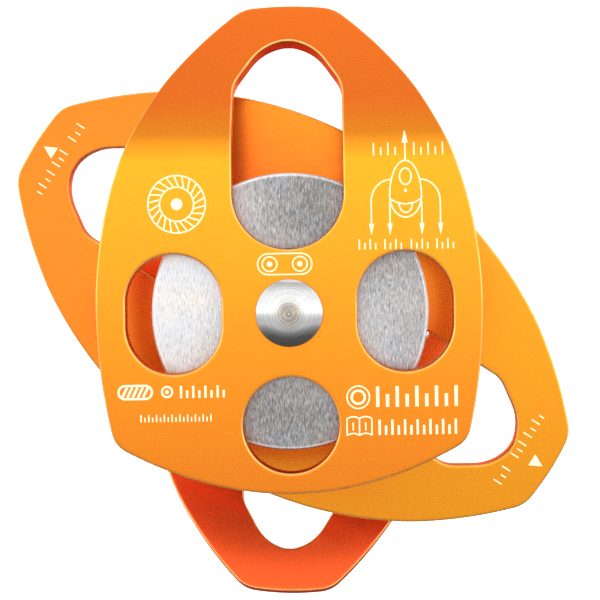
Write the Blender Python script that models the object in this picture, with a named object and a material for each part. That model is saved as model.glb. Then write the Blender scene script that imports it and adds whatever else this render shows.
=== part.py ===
"""Twin rope pulley with swinging side plates, fanned open.

Two sheaves on sealed ball bearings turn on one axle, with a flat middle plate
between them and a bent side plate outside each. Metres, +Z up. The axle lies
along Y with the front face towards -Y, and the origin is on the axle's axis in
the middle plate's mid-plane.
"""

import math

import bmesh
import bpy
from mathutils import Matrix, Vector

MM = 0.001
CLEAR = 0.3 * MM

# Plates: each outline is drawn as seen square on, u across the plate and v along
# it, with the axle at (0, 0). A side plate is one eye end and a short rounded
# heel, and the middle plate is two slightly longer eye ends.
PLATE = 4.0 * MM
PLATE_GAP = 21.8 * MM
HALF_WIDTH = 50.0 * MM
WIDEST = 2.0 * MM
EDGE_BREAK = 0.6 * MM
SHOULDER = (33.6 * MM, 60.0 * MM)
END_CORNER = (12.6 * MM, 82.7 * MM)
MIDDLE_CORNER = (11.9 * MM, 85.0 * MM)
END_RISE = 0.9 * MM
HEEL_CORNER = (45.6 * MM, -33.7 * MM)
HEEL_DROP = 13.1 * MM
BEND_START = 39.3 * MM
BEND_RADIUS = 16.7 * MM
BEND_ANGLE = math.radians(27.4)
BEND_STEPS = 5

# The angles of the three plates about the axle, anticlockwise from the front.
FRONT_TURN = math.radians(0.9)
MIDDLE_TURN = math.radians(57.3)
REAR_TURN = math.radians(178.8)

# Openings in the plates.
EYE_HALF_WIDTH = 14.4 * MM
EYE_LOW_CENTRE = 30.8 * MM
EYE_SHOULDER = 60.3 * MM
EYE_CROWN = (6.9 * MM, 71.6 * MM)
EYE_TOP_RISE = 1.2 * MM
SLOT_RADIUS = 12.4 * MM
SLOT_STRAIGHT = 6.2 * MM
SLOT_OFFSET = 29.9 * MM
HEEL_HOLE_RADIUS = 12.4 * MM
HEEL_HOLE_DROP = 29.0 * MM

# Sheaves.
SHEAVE_RADIUS = 36.4 * MM
SHEAVE_WIDTH = 19.0 * MM
GROOVE_RADIUS = 8.1 * MM
GROOVE_CENTRE = 34.3 * MM
RIM_BREAK = 0.7 * MM
SEAT_LIP_RADIUS = 14.5 * MM
SNAP_GROOVE_RADIUS = 17.2 * MM
SNAP_GROOVE_WIDTH = 1.6 * MM

# Axle, end screw and spacers.
AXLE_RADIUS = 7.4 * MM
HEAD_RADIUS = 8.7 * MM
HEAD_HEIGHT = 3.2 * MM
SCREW_RADIUS = 4.0 * MM
SCREW_LENGTH = 16.0 * MM
HEX_ACROSS_CORNERS = 6.9 * MM
HEX_DEPTH = 5.0 * MM
SPACER_FLANGE_RADIUS = 16.0 * MM
SPACER_HUB_RADIUS = 9.8 * MM
BORE_RADIUS = AXLE_RADIUS + CLEAR

# Ball bearings.
BEARING_WIDTH = 9.0 * MM
BEARING_RADIUS = 16.0 * MM
INNER_RACE_RADIUS = 10.0 * MM
OUTER_RACE_RADIUS = 13.5 * MM
BALL_RADIUS = 2.38 * MM
BALL_CIRCLE = 11.75 * MM
BALL_COUNT = 9
SHIELD_THICKNESS = 0.4 * MM

SHEAVE_CENTRE = 0.5 * PLATE + 0.5 * PLATE_GAP
SIDE_PLATE_FACE = 1.5 * PLATE + PLATE_GAP

ORANGE = (0.86, 0.30, 0.035)
DEEP_ORANGE = (0.80, 0.20, 0.03)
ALUMINIUM = (0.62, 0.62, 0.62)
STEEL = (0.50, 0.51, 0.53)
BEARING_STEEL = (0.42, 0.43, 0.45)
SHIELD_GREY = (0.30, 0.31, 0.33)
CAGE_BROWN = (0.16, 0.12, 0.08)


def clear_scene():
    """Remove whatever a new Blender file starts with."""
    for old in list(bpy.data.objects):
        bpy.data.objects.remove(old)


def material(name, colour, metallic, roughness):
    """A plain Principled material."""
    made = bpy.data.materials.new(name)
    made.use_nodes = True
    shader = made.node_tree.nodes["Principled BSDF"]
    shader.inputs["Base Color"].default_value = (*colour, 1.0)
    shader.inputs["Metallic"].default_value = metallic
    shader.inputs["Roughness"].default_value = roughness
    return made


def frame(name, turn, depth=0.0):
    """An empty on the axle's axis, turned anticlockwise as seen from the front."""
    empty = bpy.data.objects.new(name, None)
    empty.location = (0.0, depth, 0.0)
    empty.rotation_euler = (0.0, -turn, 0.0)
    bpy.context.collection.objects.link(empty)
    return empty


def place(name, mesh, parent, finish, location=(0.0, 0.0, 0.0), turned_over=False):
    """Put a mesh in the scene under its frame, optionally turned end for end."""
    obj = bpy.data.objects.new(name, mesh)
    obj.location = location
    if turned_over:
        obj.rotation_euler = (0.0, 0.0, math.pi)
    obj.parent = parent
    if not mesh.materials:
        mesh.materials.append(None)
    obj.material_slots[0].link = "OBJECT"
    colour, metallic, roughness = finish
    obj.material_slots[0].material = material(name, colour, metallic, roughness)
    bpy.context.collection.objects.link(obj)
    return obj


def finished(bm, name, smooth_angle=35.0):
    """Weld, orient and store a bmesh as a mesh with sharp edges kept."""
    bmesh.ops.remove_doubles(bm, verts=bm.verts, dist=1e-6)
    bmesh.ops.recalc_face_normals(bm, faces=bm.faces)
    mesh = bpy.data.meshes.new(name)
    bm.to_mesh(mesh)
    bm.free()
    mesh.shade_smooth()
    mesh.set_sharp_from_angle(angle=math.radians(smooth_angle))
    return mesh


def turned(name, profile, segments):
    """Spin a closed profile of (radius, depth) points about the axle's axis."""
    bm = bmesh.new()
    ring = [bm.verts.new((radius, depth, 0.0)) for radius, depth in profile]
    edges = [bm.edges.new((ring[i - 1], ring[i])) for i in range(len(ring))]
    bmesh.ops.spin(
        bm,
        geom=ring + edges,
        axis=(0.0, 1.0, 0.0),
        cent=(0.0, 0.0, 0.0),
        steps=segments,
        angle=2.0 * math.pi,
        use_merge=True,
    )
    return finished(bm, name)


def arc(centre, radius, start, end, steps):
    """Points along a circular arc, angles in degrees."""
    points = []
    for i in range(steps + 1):
        angle = math.radians(start + (end - start) * i / steps)
        x = centre[0] + radius * math.cos(angle)
        y = centre[1] + radius * math.sin(angle)
        points.append((x, y))
    return points


def bowed(start, end, rise, steps):
    """Points from start to end along a shallow arc that rises to its right."""
    a = Vector(start)
    b = Vector(end)
    along = b - a
    side = Vector((along.y, -along.x)).normalized()
    points = []
    for i in range(steps + 1):
        t = i / steps
        points.append(a + along * t + side * (4.0 * rise * t * (1.0 - t)))
    return points


def rounded_corner(before, after, cut, steps):
    """Join two runs of points that meet at a corner with a smooth curve."""
    first = trimmed(before, cut)
    last = trimmed(after[::-1], cut)[::-1]
    a = first[-1]
    b = last[0]
    corner = before[-1]
    curve = []
    for i in range(1, steps):
        t = i / steps
        curve.append(a * (1.0 - t) ** 2 + corner * (2.0 * t * (1.0 - t)) + b * t**2)
    return first + curve, last


def trimmed(points, cut):
    """Take a length off the end of a run of points."""
    kept = list(points)
    left = cut
    while len(kept) > 1:
        step = kept[-1] - kept[-2]
        if step.length > left:
            kept[-1] = kept[-1] - step * (left / step.length)
            break
        left -= step.length
        kept.pop()
    return kept


def chain(corners):
    """A run of points through corners given as (point, cut, rise, steps)."""
    runs = []
    for i in range(len(corners) - 1):
        point, _, rise, steps = corners[i]
        runs.append(bowed(point, corners[i + 1][0], rise, steps))
    done = []
    current = runs[0]
    for i in range(1, len(runs)):
        cut = corners[i][1]
        if cut > 0.0:
            current, following = rounded_corner(current, runs[i], cut, 4)
        else:
            following = runs[i][1:]
        done += current
        current = following
    return done + current


def mirrored(point):
    """The same point on the other side of the plate's centre line."""
    return (-point[0], point[1])


def flank_rise(corner):
    """How far a flank bows out so that it leaves the widest point upright."""
    drop = abs(corner[1] - WIDEST)
    lean = math.atan2(HALF_WIDTH - corner[0], drop)
    return 0.25 * lean * math.hypot(HALF_WIDTH - corner[0], drop)


def eye_end(corner):
    """The eye end's outline, from the right flank over the top to the left."""
    right = (HALF_WIDTH, WIDEST)
    flank = flank_rise(SHOULDER)
    return chain(
        [
            (right, 0.0, flank, 8),
            (SHOULDER, 3.0 * MM, 1.1 * MM, 4),
            (corner, 3.0 * MM, END_RISE, 4),
            (mirrored(corner), 3.0 * MM, 1.1 * MM, 4),
            (mirrored(SHOULDER), 3.0 * MM, flank, 8),
            (mirrored(right), 0.0, 0.0, 1),
        ]
    )


def heel_end():
    """The short end's outline, from the left flank under to the right."""
    right = (HALF_WIDTH, WIDEST)
    flank = flank_rise(HEEL_CORNER)
    return chain(
        [
            (mirrored(right), 0.0, flank, 5),
            (mirrored(HEEL_CORNER), 3.4 * MM, HEEL_DROP, 12),
            (HEEL_CORNER, 3.4 * MM, flank, 5),
            (right, 0.0, 0.0, 1),
        ]
    )


def side_outline():
    """Closed outline of a side plate."""
    return [tuple(p) for p in eye_end(END_CORNER)[:-1] + heel_end()[:-1]]


def middle_outline():
    """Closed outline of the middle plate: two eye ends, one turned half round."""
    end = eye_end(MIDDLE_CORNER)
    return [tuple(p) for p in end] + [(-p.x, -p.y) for p in end]


def eye_outline(sense=1.0):
    """The attachment eye: a round foot, straight sides and an arched top."""
    w = EYE_HALF_WIDTH
    foot = arc((0.0, EYE_LOW_CENTRE), w, 180.0, 360.0, 12)
    crown = chain(
        [
            ((w, EYE_LOW_CENTRE), 0.0, 0.0, 1),
            ((w, EYE_SHOULDER), 2.6 * MM, 0.0, 1),
            (EYE_CROWN, 5.6 * MM, EYE_TOP_RISE, 3),
            (mirrored(EYE_CROWN), 5.6 * MM, 0.0, 1),
            ((-w, EYE_SHOULDER), 2.6 * MM, 0.0, 1),
            ((-w, EYE_LOW_CENTRE), 0.0, 0.0, 1),
        ]
    )
    return [(sense * p[0], sense * p[1]) for p in foot + [tuple(q) for q in crown[1:-1]]]


def slot_outline(side):
    """A window beside the axle: two half circles and short straight sides."""
    centre = side * SLOT_OFFSET
    high = arc((centre, 0.5 * SLOT_STRAIGHT), SLOT_RADIUS, 0.0, 180.0, 10)
    low = arc((centre, -0.5 * SLOT_STRAIGHT), SLOT_RADIUS, 180.0, 360.0, 10)
    return high + low


def circle_outline(centre, radius, count):
    """A round hole."""
    return arc(centre, radius, 0.0, 360.0, count)[:-1]


def inset_loop(loop, distance, is_hole):
    """Move a loop into the plate's metal by a distance, along its own normals."""
    area = sum(
        loop[i - 1][0] * loop[i][1] - loop[i][0] * loop[i - 1][1] for i in range(len(loop))
    )
    sign = math.copysign(1.0, area) * (-1.0 if is_hole else 1.0)
    moved = []
    for i in range(len(loop)):
        before = Vector(loop[i - 1])
        here = Vector(loop[i])
        after = Vector(loop[(i + 1) % len(loop)])
        along = (here - before).normalized() + (after - here).normalized()
        inward = Vector((-along.y, along.x)).normalized() * sign
        moved.append(tuple(here + inward * distance))
    return moved


def plate_mesh(name, outline, holes, bent):
    """A plate with broken edges: walls and edge breaks around every loop,
    filled faces front and back, and for a side plate the bend near its eye.
    In the mesh x is u, z is v, and the outer face lies at y = 0."""
    bm = bmesh.new()
    rims = {0.0: [], PLATE: []}
    layers = ((0.0, EDGE_BREAK), (EDGE_BREAK, 0.0), (PLATE - EDGE_BREAK, 0.0), (PLATE, EDGE_BREAK))
    for loop, is_hole in [(outline, False)] + [(hole, True) for hole in holes]:
        below = None
        for depth, inset in layers:
            points = inset_loop(loop, inset, is_hole)
            ring = [bm.verts.new((u, depth, v)) for u, v in points]
            if below:
                for i in range(len(ring)):
                    bm.faces.new((below[i - 1], below[i], ring[i], ring[i - 1]))
            if depth in rims:
                rims[depth] += [bm.edges.get((ring[i - 1], ring[i])) or
                                bm.edges.new((ring[i - 1], ring[i])) for i in range(len(ring))]
            below = ring
    for edges in rims.values():
        bmesh.ops.triangle_fill(bm, use_beauty=True, use_dissolve=False, edges=edges)
    if bent:
        for k in range(BEND_STEPS + 1):
            v = bend_height(k)
            geometry = list(bm.verts) + list(bm.edges) + list(bm.faces)
            bmesh.ops.bisect_plane(
                bm, geom=geometry, dist=1e-7, plane_co=(0.0, 0.0, v), plane_no=(0.0, 0.0, 1.0)
            )
        for vert in bm.verts:
            vert.co = folded(vert.co)
    bmesh.ops.triangulate(bm, faces=bm.faces)
    return finished(bm, name)


def bend_height(step):
    """The height of one of the lines that the bend is made of."""
    return BEND_START + BEND_RADIUS * math.sin(BEND_ANGLE * step / BEND_STEPS)


def folded(point):
    """Lean a point of the flat plate back through the bend, one flat strip at a
    time. On the outer face every height stays as drawn."""
    step = sum(point.z > bend_height(k) + 1e-7 for k in range(BEND_STEPS + 1)) - 1
    if step < 0:
        return Vector(point)
    if step == BEND_STEPS:
        beyond = point.z - bend_height(step)
        return bent_line(point, step) + Vector((0.0, math.tan(BEND_ANGLE), 1.0)) * beyond
    share = (point.z - bend_height(step)) / (bend_height(step + 1) - bend_height(step))
    return bent_line(point, step).lerp(bent_line(point, step + 1), share)


def bent_line(point, step):
    """Where one line of the bend goes, at the point's depth in the plate."""
    angle = BEND_ANGLE * step / BEND_STEPS
    depth = BEND_RADIUS * (1.0 - math.cos(angle)) + point.y * math.cos(angle)
    return Vector((point.x, depth, bend_height(step) - point.y * math.sin(angle)))


def sheave_profile():
    """Half section of a sheave: rope groove outside, bearing seat inside. The
    seat has a lip towards +Y and a snap ring groove towards -Y."""
    half = 0.5 * SHEAVE_WIDTH
    seat = 0.5 * BEARING_WIDTH + CLEAR
    seat_radius = BEARING_RADIUS + CLEAR
    groove = arc((GROOVE_CENTRE, 0.0), GROOVE_RADIUS, 90.0, 270.0, 8)
    ring_far = -seat - SNAP_GROOVE_WIDTH + CLEAR
    return (
        [(SHEAVE_RADIUS - RIM_BREAK, half), (SHEAVE_RADIUS, half - RIM_BREAK)]
        + groove
        + [(SHEAVE_RADIUS, RIM_BREAK - half), (SHEAVE_RADIUS - RIM_BREAK, -half)]
        + [(seat_radius, -half), (seat_radius, ring_far), (SNAP_GROOVE_RADIUS, ring_far)]
        + [(SNAP_GROOVE_RADIUS, CLEAR - seat), (seat_radius, CLEAR - seat), (seat_radius, seat)]
        + [(SEAT_LIP_RADIUS, seat), (SEAT_LIP_RADIUS, half)]
    )


def race_profiles():
    """Sections of the inner and the outer race with their ball tracks."""
    half = 0.5 * BEARING_WIDTH
    track = BALL_RADIUS + CLEAR
    low = math.degrees(math.acos((BALL_CIRCLE - INNER_RACE_RADIUS) / track))
    high = math.degrees(math.acos((OUTER_RACE_RADIUS - BALL_CIRCLE) / track))
    inner_track = arc((BALL_CIRCLE, 0.0), track, 180.0 - low, 180.0 + low, 4)
    outer_track = arc((BALL_CIRCLE, 0.0), track, -high, high, 4)
    inner = [(BORE_RADIUS, -half), (BORE_RADIUS, half), (INNER_RACE_RADIUS, half)]
    inner += inner_track + [(INNER_RACE_RADIUS, -half)]
    outer = [(BEARING_RADIUS, half), (BEARING_RADIUS, -half), (OUTER_RACE_RADIUS, -half)]
    outer += outer_track + [(OUTER_RACE_RADIUS, half)]
    return inner, outer


def cage_mesh():
    """A crown cage: a thin ring beside the balls with a finger between each
    pair of them, drawn out of the ring's inner side."""
    inner = BALL_CIRCLE - 0.9 * MM
    outer = BALL_CIRCLE + 0.9 * MM
    near = BALL_RADIUS + CLEAR
    far = near + 0.8 * MM
    pitch = 360.0 / BALL_COUNT
    angles = []
    for i in range(BALL_COUNT):
        middle = (i + 0.5) * pitch
        angles += [middle - 5.0, middle + 5.0, middle + 0.5 * pitch]
    bm = bmesh.new()
    rings = []
    for angle in angles:
        c = math.cos(math.radians(angle))
        s = math.sin(math.radians(angle))
        section = ((inner, near), (inner, far), (outer, far), (outer, near))
        rings.append([bm.verts.new((r * c, y, r * s)) for r, y in section])
    fingers = []
    for i in range(len(rings)):
        first = rings[i]
        second = rings[(i + 1) % len(rings)]
        for j in range(4):
            face = bm.faces.new((first[j - 1], first[j], second[j], second[j - 1]))
            if j == 0 and i % 3 == 0:
                fingers.append(face)
    for face in fingers:
        drawn = bmesh.ops.extrude_face_region(bm, geom=[face])["geom"]
        tips = [item for item in drawn if isinstance(item, bmesh.types.BMVert)]
        bmesh.ops.translate(bm, verts=tips, vec=(0.0, -(near + 1.4 * MM), 0.0))
        bmesh.ops.delete(bm, geom=[face], context="FACES_ONLY")
    return finished(bm, "cage")


def snap_ring_mesh():
    """An internal snap ring: an open ring of flat wire with a gap."""
    inner = 14.9 * MM
    outer = SNAP_GROOVE_RADIUS - CLEAR
    half = 0.5 * MM
    bm = bmesh.new()
    section = ((inner, -half), (outer, -half), (outer, half), (inner, half))
    start = [bm.verts.new((r, y, 0.0)) for r, y in section]
    face = bm.faces.new(start)
    bmesh.ops.spin(
        bm,
        geom=[face] + list(face.edges) + start,
        axis=(0.0, 1.0, 0.0),
        cent=(0.0, 0.0, 0.0),
        steps=24,
        angle=math.radians(325.0),
    )
    return finished(bm, "snap_ring")


def shield_profile():
    """A flat washer that closes the gap between the races."""
    half = 0.5 * SHIELD_THICKNESS
    inner = INNER_RACE_RADIUS + CLEAR
    outer = OUTER_RACE_RADIUS - CLEAR
    return [(inner, -half), (inner, half), (outer, half), (outer, -half)]


def spacer_profile():
    """A flanged spacer: a hub that reaches the inner race and a thin flange
    that keeps a plate off the sheave. The flange's outer face is at y = 0."""
    flange = 0.5 * (PLATE_GAP - SHEAVE_WIDTH) - 2.0 * CLEAR
    reach = 0.5 * (PLATE_GAP - BEARING_WIDTH) - 2.0 * CLEAR
    return [
        (BORE_RADIUS, 0.0),
        (SPACER_FLANGE_RADIUS, 0.0),
        (SPACER_FLANGE_RADIUS, flange),
        (SPACER_HUB_RADIUS, flange),
        (SPACER_HUB_RADIUS, reach),
        (BORE_RADIUS, reach),
    ]


def head_profile(radius, height):
    """The domed end of the axle or of its screw, from the rim to the axis,
    with its flat side at y = 0 and the dome towards -Y."""
    rim = 0.9 * MM
    sphere = (radius**2 + (height - rim) ** 2) / (2.0 * (height - rim))
    sweep = math.degrees(math.asin(radius / sphere))
    dome = arc((0.0, sphere - height), sphere, sweep - 90.0, -90.0, 5)
    return [(radius, 0.0)] + dome[:-1] + [(0.0, -height)]


def axle_mesh():
    """The headed axle, with a blind tapped hole in its far end."""
    front = -SIDE_PLATE_FACE - CLEAR
    end = SIDE_PLATE_FACE - 1.0 * MM
    hole = SCREW_RADIUS + CLEAR
    floor = SIDE_PLATE_FACE + CLEAR - SCREW_LENGTH - 1.0 * MM
    shank = [
        (0.0, floor),
        (hole, floor),
        (hole, end),
        (AXLE_RADIUS - 0.5 * MM, end),
        (AXLE_RADIUS, end - 0.5 * MM),
        (AXLE_RADIUS, front),
    ]
    head = [(r, y + front) for r, y in head_profile(HEAD_RADIUS, HEAD_HEIGHT)]
    return turned("axle", shank + head, 28)


def screw_mesh():
    """The domed screw that closes the axle, with a hexagon socket cut in its
    head. Its dome faces +Y."""
    seat = SIDE_PLATE_FACE + CLEAR
    tip = seat - SCREW_LENGTH
    head = [(r, seat - y) for r, y in head_profile(HEAD_RADIUS, HEAD_HEIGHT)]
    shank = [(0.0, tip), (SCREW_RADIUS - 0.6 * MM, tip), (SCREW_RADIUS, tip + 0.6 * MM)]
    shank += [(SCREW_RADIUS, seat)]
    body = bpy.data.objects.new("screw_blank", turned("screw_blank", shank + head, 28))
    bm = bmesh.new()
    bmesh.ops.create_cone(
        bm,
        cap_ends=True,
        segments=6,
        radius1=0.5 * HEX_ACROSS_CORNERS,
        radius2=0.5 * HEX_ACROSS_CORNERS,
        depth=2.0 * HEX_DEPTH,
        matrix=Matrix.Translation((0.0, seat + HEAD_HEIGHT, 0.0)) @ Matrix.Rotation(math.pi / 2.0, 4, "X"),
    )
    cutter = bpy.data.objects.new("socket_cutter", finished(bm, "socket_cutter"))
    bpy.context.collection.objects.link(body)
    bpy.context.collection.objects.link(cutter)
    cut = body.modifiers.new("socket", "BOOLEAN")
    cut.operation = "DIFFERENCE"
    cut.object = cutter
    bpy.context.view_layer.update()
    evaluated = body.evaluated_get(bpy.context.evaluated_depsgraph_get())
    mesh = bpy.data.meshes.new_from_object(evaluated)
    bpy.data.objects.remove(body)
    bpy.data.objects.remove(cutter)
    mesh.name = "screw"
    mesh.shade_smooth()
    mesh.set_sharp_from_angle(angle=math.radians(35.0))
    return mesh


def ball_mesh():
    """A bearing ball."""
    bm = bmesh.new()
    bmesh.ops.create_icosphere(bm, subdivisions=1, radius=BALL_RADIUS)
    return finished(bm, "ball", 80.0)


def build_plates():
    """The two bent side plates and the flat middle plate between them."""
    holes = [
        eye_outline(),
        slot_outline(-1.0),
        slot_outline(1.0),
        circle_outline((0.0, -HEEL_HOLE_DROP), HEEL_HOLE_RADIUS, 24),
        circle_outline((0.0, 0.0), BORE_RADIUS, 28),
    ]
    side = plate_mesh("side_plate", side_outline(), holes, True)
    middle_holes = [eye_outline(), eye_outline(-1.0), circle_outline((0.0, 0.0), BORE_RADIUS, 28)]
    middle = plate_mesh("middle_plate", middle_outline(), middle_holes, False)
    front_frame = frame("front_plate_frame", FRONT_TURN, -SIDE_PLATE_FACE)
    middle_frame = frame("middle_plate_frame", MIDDLE_TURN, -0.5 * PLATE)
    rear_frame = frame("rear_plate_frame", REAR_TURN, SIDE_PLATE_FACE)
    place("front_side_plate", side, front_frame, (ORANGE, 0.9, 0.32))
    place("middle_plate", middle, middle_frame, (ORANGE, 0.9, 0.32))
    place("rear_side_plate", side, rear_frame, (DEEP_ORANGE, 0.9, 0.32), turned_over=True)


def build_axle():
    """The axle, its screw and the four flanged spacers around the shank."""
    axle_frame = frame("axle_frame", 0.0)
    place("axle_pin", axle_mesh(), axle_frame, (STEEL, 1.0, 0.18))
    place("axle_screw", screw_mesh(), axle_frame, (STEEL, 1.0, 0.22))
    spacer = turned("spacer", spacer_profile(), 28)
    inner = 0.5 * PLATE + CLEAR
    outer = 0.5 * PLATE + PLATE_GAP - CLEAR
    for name, depth, turned_over in (
        ("spacer_front_outer", -outer, False),
        ("spacer_front_inner", -inner, True),
        ("spacer_rear_inner", inner, False),
        ("spacer_rear_outer", outer, True),
    ):
        place(name, spacer, axle_frame, (STEEL, 1.0, 0.35), (0.0, depth, 0.0), turned_over)


def build_sheave_sets():
    """A sheave with its bearing on each side of the middle plate. The rear
    set is the front set turned end for end, so both snap rings face out."""
    inner_profile, outer_profile = race_profiles()
    sheave = turned("sheave", sheave_profile(), 44)
    inner_race = turned("inner_race", inner_profile, 24)
    outer_race = turned("outer_race", outer_profile, 24)
    shield = turned("shield", shield_profile(), 24)
    cage = cage_mesh()
    snap_ring = snap_ring_mesh()
    ball = ball_mesh()
    shield_depth = 0.5 * BEARING_WIDTH - 0.5 * SHIELD_THICKNESS - 0.1 * MM
    ring_depth = 0.5 * BEARING_WIDTH + CLEAR + 0.5 * MM
    for label, depth, turned_over in (("front", -SHEAVE_CENTRE, False), ("rear", SHEAVE_CENTRE, True)):
        holder = frame(label + "_sheave_frame", 0.0, depth)
        outward = 1.0 if turned_over else -1.0
        place(label + "_sheave", sheave, holder, (ALUMINIUM, 1.0, 0.42), turned_over=turned_over)
        place(label + "_outer_race", outer_race, holder, (BEARING_STEEL, 1.0, 0.25))
        place(label + "_inner_race", inner_race, holder, (BEARING_STEEL, 1.0, 0.25))
        place(label + "_cage", cage, holder, (CAGE_BROWN, 0.0, 0.5), turned_over=turned_over)
        place(label + "_snap_ring", snap_ring, holder, (SHIELD_GREY, 1.0, 0.4), (0.0, outward * ring_depth, 0.0))
        for side, sense in (("outer", outward), ("inner", -outward)):
            name = label + "_shield_" + side
            place(name, shield, holder, (SHIELD_GREY, 0.6, 0.5), (0.0, sense * shield_depth, 0.0))
        for i in range(BALL_COUNT):
            angle = 2.0 * math.pi * (i + 0.5 * turned_over) / BALL_COUNT
            at = (BALL_CIRCLE * math.cos(angle), 0.0, BALL_CIRCLE * math.sin(angle))
            place(f"{label}_ball_{i + 1}", ball, holder, (STEEL, 1.0, 0.1), at)


clear_scene()
build_plates()
build_axle()
build_sheave_sets()
bpy.context.view_layer.update()
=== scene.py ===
"""Looks of a twin rope pulley whose three plates are fanned out on one axle.

The axle lies along Y with the front towards -Y, and the origin is on it, in the
middle of the middle plate. Lengths are in metres, written as millimetres * MM.
"""

import math

import bmesh
import bpy
import numpy as np
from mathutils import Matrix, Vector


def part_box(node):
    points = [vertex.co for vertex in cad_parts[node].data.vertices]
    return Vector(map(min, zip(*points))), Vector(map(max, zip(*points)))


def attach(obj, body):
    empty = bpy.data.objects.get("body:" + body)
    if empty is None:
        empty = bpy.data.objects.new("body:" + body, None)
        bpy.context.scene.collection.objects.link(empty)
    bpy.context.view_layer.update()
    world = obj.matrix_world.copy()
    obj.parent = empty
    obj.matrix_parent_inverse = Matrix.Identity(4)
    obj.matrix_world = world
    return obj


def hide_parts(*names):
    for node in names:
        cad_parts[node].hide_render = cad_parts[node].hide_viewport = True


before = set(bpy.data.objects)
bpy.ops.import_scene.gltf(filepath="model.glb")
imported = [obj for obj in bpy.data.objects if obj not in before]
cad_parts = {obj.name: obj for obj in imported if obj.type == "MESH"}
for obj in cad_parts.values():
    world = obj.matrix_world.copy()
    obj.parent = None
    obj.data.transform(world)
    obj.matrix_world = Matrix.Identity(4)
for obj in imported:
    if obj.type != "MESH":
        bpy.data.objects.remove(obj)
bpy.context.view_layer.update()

MM = 0.001

# ---------------------------------------------------------------------------
# Front side plate
# A pressed plate of 4 mm aluminium sheet: an eye for the connector at the top,
# two oval windows and a round one, tumbled so that every edge is rounded, bent
# back near the eye and then anodised orange.

HALF_WIDTH = 50.0 * MM
WIDEST = 2.0 * MM
SHOULDER = (33.6 * MM, 60.0 * MM)
SIDE_END_CORNER = (12.6 * MM, 82.7 * MM)
HEEL_CORNER = (45.6 * MM, -33.7 * MM)
HEEL_DROP = 13.1 * MM
EYE_HALF_WIDTH = 14.4 * MM
EYE_FOOT = 30.8 * MM
EYE_SHOULDER = 60.3 * MM
EYE_CROWN = (6.9 * MM, 71.6 * MM)
WINDOW_RADIUS = 12.4 * MM
WINDOW_OFFSET = 29.9 * MM
WINDOW_STRAIGHT = 6.2 * MM
HEEL_HOLE_DROP = 29.0 * MM
AXLE_HOLE = 7.7 * MM
EDGE_ROUND = 0.6 * MM
BEND_START = 39.3 * MM
BEND_RADIUS = 16.7 * MM
BEND_ANGLE = math.radians(27.4)
BEND_LINES = 28
# Painted shade: the side plates' orange is darkened over the bent eye end and down towards the heel, where
# the plate gets less light.
EYE_SHADE_FADE = 16.0 * MM
HEEL_SHADE = 0.64
HEEL_SHADE_TOP = 40.0 * MM
HEEL_SHADE_FADE = 84.0 * MM
FRONT_TURN = math.radians(0.9)
FRONT_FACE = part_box("front_side_plate")[0].y
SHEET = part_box("middle_plate")[1].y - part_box("middle_plate")[0].y
SPACING = 0.7 * MM


def leg(start, end, rise, spacing):
    """Points from start to end on a shallow bow: the straight line plus a
    parabola 4 * rise * t * (1 - t) to the right of the way along it."""
    start = np.array(start)
    along = np.array(end) - start
    length = np.hypot(*along)
    t = np.linspace(0.0, 1.0, max(2, round(length / spacing) + 1))[:, None]
    side = np.array([along[1], -along[0]]) / length
    return start + along * t + side * (4.0 * rise * t * (1.0 - t))


def shortened(points, cut):
    """A run of points that ends where a length, cut, is left to its last one."""
    steps = np.hypot(*np.diff(points, axis=0).T)
    along = np.concatenate([[0.0], np.cumsum(steps)])
    end = along[-1] - cut
    last = [np.interp(end, along, points[:, 0]), np.interp(end, along, points[:, 1])]
    return np.vstack([points[along < end - 0.02 * MM], last])


def line(corners, closed=True, spacing=SPACING):
    """A line through corners given as (point, cut, rise). A bow with that rise
    leads on from each corner c, and a cut rounds the corner off with the curve
    a (1-t)^2 + 2 c t (1-t) + b t^2 between the points a and b a cut away."""
    legs = []
    for here, there in zip(corners, corners[1:] + corners[:1]):
        run = leg(here[0], there[0], here[2], spacing)
        run = shortened(run, there[1])
        legs.append(shortened(run[::-1], here[1])[::-1])
    if not closed:
        legs.pop()
    runs = []
    for i, run in enumerate(legs):
        point, cut, _ = corners[i]
        if cut > 0.0 and (closed or i > 0):
            t = np.linspace(0.0, 1.0, max(5, round(1.6 * cut / spacing)))[1:-1, None]
            runs.append(legs[i - 1][-1] * (1 - t) ** 2 + np.array(point) * 2 * t * (1 - t) + run[0] * t**2)
            runs.append(run)
        else:
            runs.append(run[1:] if closed or i > 0 else run)
    return np.vstack(runs)


def ring(centre, radius, start=0.0, end=360.0, spacing=SPACING):
    """Points on a circle from one angle to another; a full turn leaves out its
    last point, which is its first."""
    full = abs(end - start) >= 360.0
    count = max(12, round(math.radians(abs(end - start)) * radius / spacing))
    a = np.radians(np.linspace(start, end, count + 1))[: count if full else None]
    return np.column_stack([centre[0] + radius * np.cos(a), centre[1] + radius * np.sin(a)])


def flip(point):
    """The same point on the other side of a plate's centre line."""
    return (-point[0], point[1])


def flank(corner):
    """The rise of a flank between the widest point and a corner, which makes it
    leave the widest point upright."""
    drop = abs(corner[1] - WIDEST)
    lean = math.atan2(HALF_WIDTH - corner[0], drop)
    return 0.25 * lean * math.hypot(HALF_WIDTH - corner[0], drop)


def eye_end(corner):
    """Corners of the end that holds an eye, from the right flank to the left."""
    return [
        ((HALF_WIDTH, WIDEST), 0.0, flank(SHOULDER)),
        (SHOULDER, 3.0 * MM, 1.1 * MM),
        (corner, 3.0 * MM, 0.9 * MM),
        (flip(corner), 3.0 * MM, 1.1 * MM),
        (flip(SHOULDER), 3.0 * MM, flank(SHOULDER)),
    ]


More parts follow.
